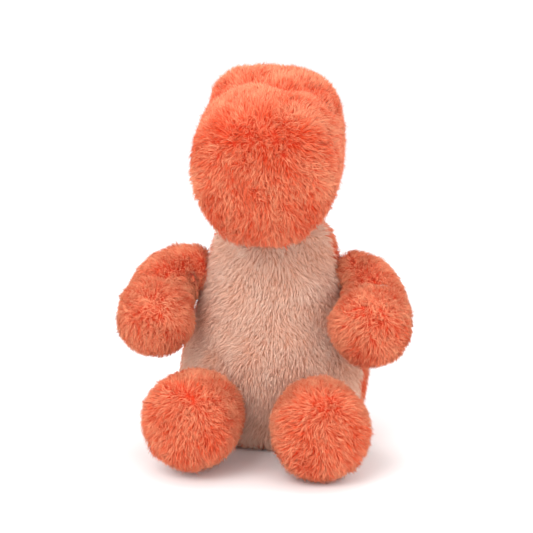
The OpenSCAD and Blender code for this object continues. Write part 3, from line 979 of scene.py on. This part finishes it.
def near(a, *angles, reach=5.0):
    """True where angle a is within reach of one of the seam angles."""
    return np.any([np.abs((a - s + 180) % 360 - 180) < reach for s in angles], axis=0)


def torso_seams(t, a):
    """Both edges of the belly, the back seam, and the seat's edge."""
    return near(a, 270 - BELLY_HALF, 270 + BELLY_HALF, 90) | (t < 0.85)


def head_seams(t, a):
    """Both edges of the strip over the head, and the under-jaw."""
    return near(a, 90 - GUSSET_HALF, 90 + GUSSET_HALF, 270 - CHIN_HALF, 270 + CHIN_HALF)


def side_seams(t, a):
    """The two seams along a limb."""
    return near(a, 0, 180)


def leg_seams(t, a):
    """The two seams along the leg and the one round the sole."""
    return near(a, 0, 180) | (np.abs(t - SOLE_START) < 0.09)


def tail_seams(t, a):
    """The seams along the top and the bottom of the tail."""
    return near(a, 90, 270)


def hollow(centre, radius, out):
    """Pushes cloth back out of a ball at centre, away from the direction out."""
    out = unit(np.asarray(out, float))

    def carve(p):
        q = p - centre
        along = q @ out
        across = np.linalg.norm(q - along[..., None] * out, axis=-1)
        floor = -np.sqrt(np.maximum(radius**2 - across**2, 0))
        limit = np.where(across < radius, floor, along)
        return p + out * np.minimum(limit - along, 0)[..., None]

    return carve


ROOT_ROOM = 1.0 * MM
NECK_INSET = 3 * MM


def carve_torso(p):
    """Hollows for the roots of the arms, the legs and the tail, a little wider than each root."""
    arm_hollow = SHOULDER_R + ROOT_ROOM - FULL_DEPTH
    leg_hollow = HIP_R + ROOT_ROOM - PILE_DEPTH
    for s in (-1, 1):
        p = hollow(SHOULDER * [s, 1, 1], arm_hollow, (s, 0, 0))(p)
        p = hollow(HIP * [s, 1, 1], leg_hollow, (0, -1, 0))(p)
    return hollow(TAIL_ROOT, TAIL_R + ROOT_ROOM - PILE_DEPTH, (0, 1, 0))(p)


def carve_head(p):
    """The underside of the head is pushed up off the ball of the neck."""
    q = p - NECK
    d = np.linalg.norm(q, axis=-1, keepdims=True)
    return NECK + q * np.maximum(1, (NECK_R - NECK_INSET) / d)


def torso_depth(t):
    """Shallow low on the body and deeper from the chest up."""
    return mix(FULL_DEPTH, PILE_DEPTH + MM, ease((t - 1.3) / 0.4))


left_arm_shape = arm_shape(*LEFT_ARM)
right_arm_shape = arm_shape(*RIGHT_ARM, full=1.0)

torso = Form("torso_cloth", "torso", torso_shape, torso_seams, carve=carve_torso, depth=torso_depth)
head = Form("head_cloth", "head", head_shape, head_seams, carve=carve_head)
left_arm = Form("left_arm_cloth", "left_arm", left_arm_shape, side_seams, depth=FULL_DEPTH)
right_arm = Form(
    "right_arm_cloth", "right_arm", right_arm_shape, side_seams, mirrored=True, depth=ARM_DEPTH
)
left_leg = Form("left_leg_cloth", "left_leg", left_leg_shape, leg_seams)
right_leg = Form("right_leg_cloth", "right_leg", right_leg_shape, leg_seams, mirrored=True)
tail = Form("tail_cloth", "tail", tail_shape, tail_seams)



def on_belly(t, a):
    """True on the belly panel."""
    return (t > SEAT_END) & (np.abs(a - 270) < BELLY_HALF)


torso.cloth(CORAL_CLOTH, CREAM_CLOTH, second=on_belly)
for form in (head, left_arm, right_arm, left_leg, right_leg, tail):
    form.cloth(CORAL_CLOTH)

# ---------------------------------------------------------------- naps: which way the pile lies

DOWN = np.array([0, 0, -1.0])


def torso_nap(p, t):
    """Down the body, a little outwards from the middle line, and outwards under the seat."""
    out = p * [1, 1, 0]
    return np.where(t[:, None] < SEAT_END, unit(out), DOWN + 0.25 * unit(out) * [1, 0.3, 0])


def off_line(p, ends):
    """From the nearest point of a line between two ends to each point."""
    start, end = ends
    run = end - start
    f = np.clip((p - start) @ run / max(run @ run, 1e-12), 0, 1)
    return p - start - f[:, None] * run


def from_whorl(ends, reach):
    """Away on all sides from a whorl or a parting; the pile stands nearly upright along it."""

    def nap(p, t):
        q = off_line(p, ends)
        d = np.linalg.norm(q, axis=-1, keepdims=True)
        return unit(q) * np.clip(d / reach, 0.15, 1)

    return nap


def limb_nap(heading, whorl, start, hang):
    """Along the limb up to the place start, and on its round end away from the whorl, hanging down
    by a share hang."""
    away = from_whorl((whorl, whorl), 12 * MM)

    def nap(p, t):
        f = ease((t - start + 0.12) / 0.24)[:, None]
        return mix(heading(p, t) + 0.3 * DOWN, mix(away(p, t), DOWN, hang), f)

    return nap


def along(shape, mirrored=False):
    """The way a limb's rings go, from the difference of their middles."""
    flip = np.array([-1 if mirrored else 1, 1, 1])

    def heading(p, t):
        s = np.clip(t, 1.02, 1.98)
        ahead = sum(shape(s + 0.02, a) - shape(s - 0.02, a) for a in (0, 90, 180, 270))
        return unit(ahead) * flip

    return heading


def within(centre, radius):
    """True for roots inside a ball."""
    return lambda p: np.linalg.norm(p - centre, axis=-1) < radius


def any_of(*tests):
    """True where any test is."""
    return lambda p: np.any([test(p) for test in tests], axis=0)


def in_span(a, start, end):
    """True where angle a is between start and end, going round."""
    return (a - start) % 360 <= (end - start) % 360


def chin_half(t):
    """Half the angle of the under-jaw panel at t."""
    return mix(3, CHIN_HALF, ease((t - CHIN_START) / 0.7))


def in_chin(t, a):
    """True on the under-jaw panel."""
    return (t > CHIN_START) & (np.abs(a - 270) < chin_half(t))


def in_gusset(a):
    """True on the strip from the nose to the nape."""
    return np.abs(a - 90) < GUSSET_HALF


ROOT_EDGE = 3 * MM
EYE_CLEARANCE = 2.6 * MM
limb_roots = any_of(
    *(within(SHOULDER * [s, 1, 1], SHOULDER_R - ROOT_EDGE) for s in (-1, 1)),
    *(within(HIP * [s, 1, 1], HIP_R - ROOT_EDGE) for s in (-1, 1)),
    within(TAIL_ROOT, TAIL_R - ROOT_EDGE),
)
under_head = within(np.array([0, 0, TORSO_TOP + 8 * MM]), 24 * MM)
torso_skip = any_of(limb_roots, under_head)
head_skip = any_of(
    within(NECK, NECK_R - 1.5 * MM),
    *(within(EYE * [s, 1, 1], EYE_CLEARANCE) for s in (-1, 1)),
)
from_nose = from_whorl(NOSE_WHORL, 18 * MM)


JAW_TOP = 168 * MM
JAW_EDGE = 163 * MM


def head_nap(p, t):
    """Away from the nose's parting, and hanging down under the jaw."""
    jaw = ease((JAW_TOP - p[:, 2]) / (10 * MM))[:, None]
    return from_nose(p, t) + DOWN * 1.2 * jaw


def round_eyes(p):
    """The pile is up to twice as long in front of each eye, which hides it from the front, and nearly
    half shorter in the folds."""
    ahead = EYE - np.array([0, 6 * MM, 0])
    longer = sum(bump(np.linalg.norm(p - ahead * [s, 1, 1], axis=-1), 5 * MM) for s in (-1, 1))
    return longer - 0.45 * head_folds(p)


def jaw_fringe(p):
    """As round the eyes, and half as long again along the jaw, where it hangs free."""
    return round_eyes(p) + 0.5 * bump(p[:, 2] - JAW_EDGE, 5 * MM)


def head_painted_shade_and_light(p):
    """Painted shade and light on the head's pile: deeper in the folds and under the snout, where shade
    falls, paler on the crown, where the light falls, and also deeper round the nose's parting."""
    nose = bump(np.linalg.norm(off_line(p, NOSE_WHORL), axis=-1), 11 * MM)
    lower = ease((205 * MM - p[:, 2]) / (50 * MM))
    crown = ease((p[:, 2] - 235 * MM) / (30 * MM))
    # Painted shade in the folds and under the snout, painted light on the crown
    return 0.14 * crown - 0.28 * head_folds(p) - 0.24 * nose - 0.12 * lower


def limb_painted_light(p):
    """The pile of the limbs is painted a little paler than the rest, a painted light against the shade
    that falls among their strands.
    """
    return np.full(len(p), 0.2)


# ---------------------------------------------------------------- the pile of each panel


def panel(start, end, first=0.0, last=3.0):
    """True between two angles, going round, from place first up to place last."""
    return lambda t, a: (t >= first) & (t < last) & in_span(a, start, end)


def cheek(start, end, first, last):
    """True on a part of a cheek, which leaves out the strip over the head and the under-jaw."""
    whole = panel(start, end, first, last)
    return lambda t, a: whole(t, a) & ~in_gusset(a) & ~in_chin(t, a)


BELLY_START = 270 - BELLY_HALF
BELLY_END = 270 + BELLY_HALF
# Where the belly's and each cheek's pile is split in two
BELLY_SPLIT = 1.45
CHEEK_SPLIT = 1.5
# Where the pile of the arms starts, and that of the legs and the tail
ARM_START = 0.4
LIMB_START = 0.75
BELLY = dict(
    comb=torso_nap, material=CREAM_PILE, per_mm2=2.05, length=7.8 * MM, skip=torso_skip, unruly=0.36
)
SIDE = dict(comb=torso_nap, material=CORAL_PILE, per_mm2=1.44, skip=torso_skip)
HEAD = dict(comb=head_nap, material=CORAL_PILE, skip=head_skip, shade=head_painted_shade_and_light)

low_belly = panel(BELLY_START, BELLY_END, SEAT_END, BELLY_SPLIT)
high_belly = panel(BELLY_START, BELLY_END, BELLY_SPLIT)
left_side = panel(BELLY_HALF - 90, 90, SEAT_END)
right_side = panel(90, BELLY_START, SEAT_END)
grow(torso, "belly_pile_low", "belly_panel", low_belly, seed=101, **BELLY)
grow(torso, "belly_pile_high", "belly_panel", high_belly, seed=102, **BELLY)
grow(torso, "left_side_pile", "left_side_panel", left_side, seed=103, **SIDE)
grow(torso, "right_side_pile", "right_side_panel", right_side, seed=104, **SIDE)
grow(torso, "seat_pile", "seat_panel", lambda t, a: t < SEAT_END, torso_nap, CORAL_PILE, 0.91, 105)

grow(
    head, "head_gusset_pile", "head_gusset", lambda t, a: in_gusset(a),
    per_mm2=2.05, seed=111, extra=round_eyes, **HEAD,
)
grow(head, "chin_pile", "chin_panel", in_chin, per_mm2=1.98, seed=112, extra=jaw_fringe, **HEAD)
for part, first, last, seed in (("back", 0, CHEEK_SPLIT, 113), ("front", CHEEK_SPLIT, 3, 115)):
    for k, (side, start, end) in enumerate((("left", 270, 90), ("right", 90, 270))):
        grow(
            head, f"{side}_cheek_{part}_pile", f"{side}_cheek_panel", cheek(start, end, first, last),
            per_mm2=1.9, seed=seed + k, extra=round_eyes, **HEAD,
        )

for form, shape, side, seed in (
    (left_arm, left_arm_shape, "left", 120),
    (right_arm, right_arm_shape, "right", 130),
):
    paw = form.points[-1].mean(0) + np.array([0, 0, 9 * MM])
    nap = limb_nap(along(shape, side == "right"), paw, start=2.25, hang=0.65)
    for k, (part, start) in enumerate((("inner", 0), ("outer", 180))):
        grow(
            form, f"{side}_arm_{part}_pile", f"{side}_arm_{part}_panel",
            panel(start, start + 180, ARM_START), nap, CORAL_PILE, 1.98, seed + k, shade=limb_painted_light,
        )

for form, shape, side, seed in (
    (left_leg, left_leg_shape, "left", 140),
    (right_leg, right_leg_shape, "right", 150),
):
    sole = form.points[-1].mean(0) + np.array([0, 0, 20 * MM])
    nap = limb_nap(along(shape, side == "right"), sole, start=SOLE_START, hang=0.3)
    for k, (part, start, per_mm2) in enumerate((("top", 0, 1.9), ("under", 180, 1.52))):
        grow(
            form, f"{side}_leg_{part}_pile", f"{side}_leg_{part}_panel",
            panel(start, start + 180, LIMB_START, SOLE_START),
            nap, CORAL_PILE, per_mm2, seed + k, shade=limb_painted_light,
        )
    grow(
        form, f"{side}_sole_pile", f"{side}_sole_panel", lambda t, a: t >= SOLE_START,
        nap, CORAL_PILE, 2.28, seed + 2,
    )

for side, start, seed in (("left", 270, 161), ("right", 90, 162)):
    grow(
        tail, f"tail_{side}_pile", f"tail_{side}_panel", panel(start, start + 180, LIMB_START),
        along(tail_shape), CORAL_PILE, 1.44, seed,
    )

# ---------------------------------------------------------------- the CAD nodes that stay

# Finishes by a part of the node's name; the first that fits is taken
FINISH = {
    "stuffing": fibre_material(),
    "pellet_bag": weave_material(),
    "pellets": pellet_material(),
    "neck_thread": thread_material(),
    "washer": washer_material(),
    "_eye": eye_material(),
}
for name, node in frame["nodes"].items():
    kept = [material for part, material in FINISH.items() if part in name]
    if kept:
        node.data.materials.clear()
        node.data.materials.append(kept[0])

# ---------------------------------------------------------------- floor, light and camera


def add_floor(half=4.0):
    """A plain pale floor, wide enough to run out of sight."""
    corners = [(-half, -half, 0), (half, -half, 0), (half, half, 0), (-half, half, 0)]
    obj = add_mesh("floor", corners, [(0, 1, 2, 3)])
    m = Material("floor_paper", Roughness=0.9, Base_Color=(0.97, 0.97, 0.97))
    obj.data.materials.append(m.material)


def add_light(name, place, target, size, power):
    """A square soft box at place, turned to face target."""
    light = bpy.data.lights.new(name, "AREA")
    light.size = size
    light.energy = power
    obj = bpy.data.objects.new(name, light)
    bpy.context.scene.collection.objects.link(obj)
    obj.location = place
    obj.rotation_euler = (Vector(target) - Vector(place)).to_track_quat("-Z", "Y").to_euler()


def add_sky(strength):
    """An even white surround."""
    world = bpy.data.worlds.new("surround")
    world.use_nodes = True
    world.node_tree.nodes["Background"].inputs["Color"].default_value = (1, 1, 1, 1)
    world.node_tree.nodes["Background"].inputs["Strength"].default_value = strength
    bpy.context.scene.world = world


def add_camera(azimuth, elevation, distance, middle, width):
    """A camera at an azimuth and elevation round the middle, with a view width across there."""
    a, e = np.radians([azimuth, elevation])
    back = np.array([np.sin(a) * np.cos(e), -np.cos(a) * np.cos(e), np.sin(e)])
    camera = bpy.data.cameras.new("camera")
    camera.sensor_width = 36
    camera.lens = 36 * distance / width
    camera.clip_start = 0.05
    camera.clip_end = 20
    obj = bpy.data.objects.new("camera", camera)
    bpy.context.scene.collection.objects.link(obj)
    obj.location = middle + back * distance
    obj.rotation_euler = Vector(-back).to_track_quat("-Z", "Y").to_euler()
    bpy.context.scene.camera = obj


VIEW_AZIMUTH = 7.5
VIEW_ELEVATION = 10.0
VIEW_DISTANCE = 0.9
VIEW_WIDTH = 0.396
# The toy's middle, and how far the view's middle lies to the left of it
VIEW_MIDDLE = np.array([0, -4, 128.5]) * MM
VIEW_SHIFT = 5.2 * MM

add_floor()
add_sky(1.05)
add_light("key_softbox", (-0.5, -1.1, 1.1), target=(0, 0, 0.12), size=0.9, power=10.4)
add_light("fill_softbox", (0.9, -1.0, 0.6), target=(0, 0, 0.1), size=0.9, power=4)
add_light("top_softbox", (0.0, 0.2, 1.3), target=(0, 0, 0.2), size=0.8, power=4.5)
turn = np.radians(VIEW_AZIMUTH)
across = np.array([np.cos(turn), np.sin(turn), 0])
middle = VIEW_MIDDLE - across * VIEW_SHIFT
add_camera(VIEW_AZIMUTH, VIEW_ELEVATION, VIEW_DISTANCE, middle, VIEW_WIDTH)
bpy.context.scene.view_settings.view_transform = "Standard"
